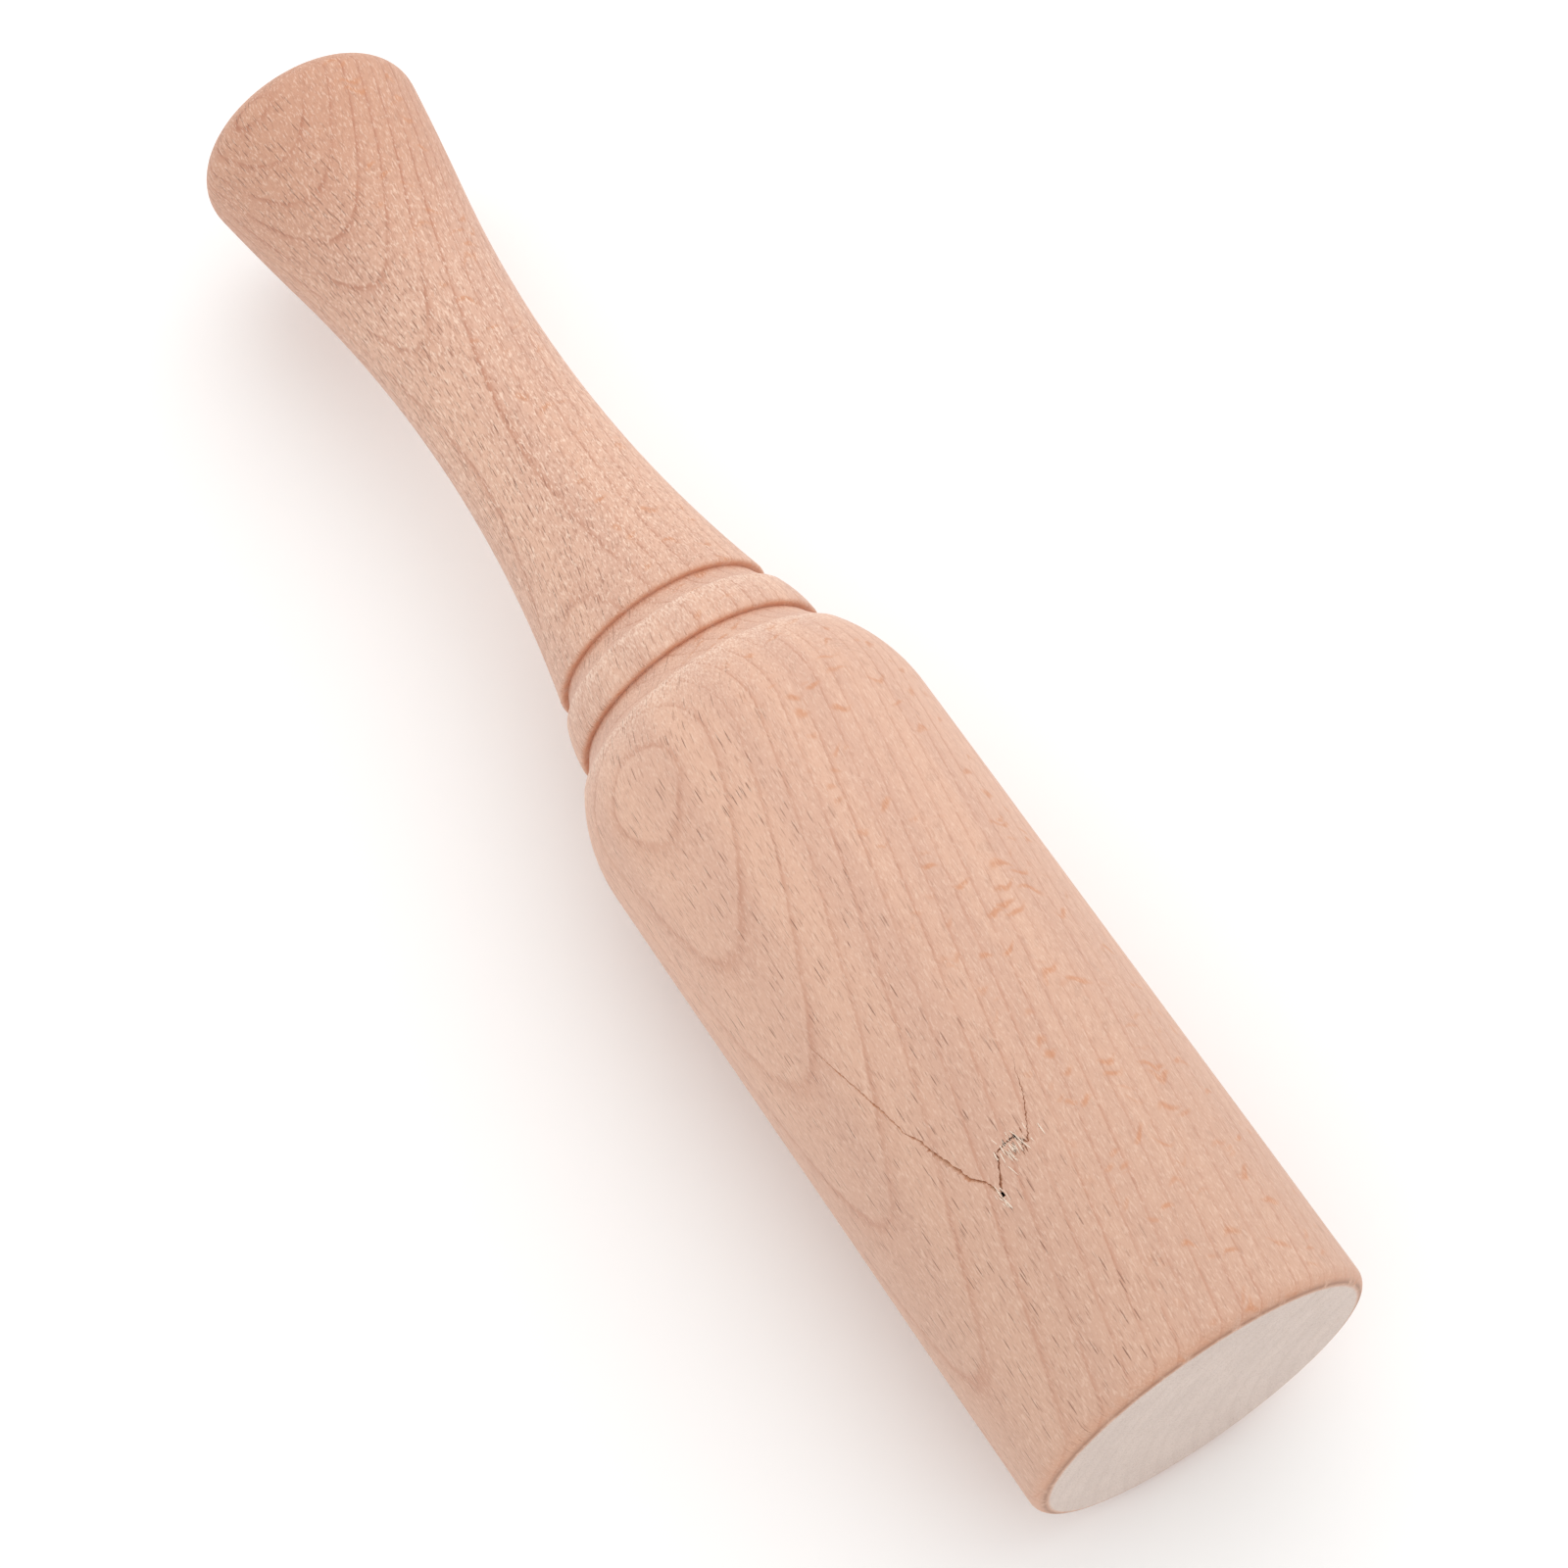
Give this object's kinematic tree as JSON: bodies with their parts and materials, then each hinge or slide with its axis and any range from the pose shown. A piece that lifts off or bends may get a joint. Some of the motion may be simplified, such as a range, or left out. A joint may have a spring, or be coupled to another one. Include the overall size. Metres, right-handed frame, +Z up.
{
  "type": "round carver's mallet",
  "caption": "Round wooden carver's mallet turned in one piece, with a straight cylindrical head, a beaded neck between grooves and a waisted handle ending in a flared knob.",
  "frame": {"origin": "on the surface it lies on, below the middle of its length: the lowest line of the head's straight side is at z = 0", "axes": "+X along the turning axis from the knob's end to the head's end face, +Z up, lying on the side of its head"},
  "size_m": [0.272, 0.06, 0.06],
  "materials": {
    "beech": "sanded, unfinished beech with a matt surface"
  },
  "bodies": {
    "root": {"turned_mallet": "beech"}
  },
  "joints": []
}
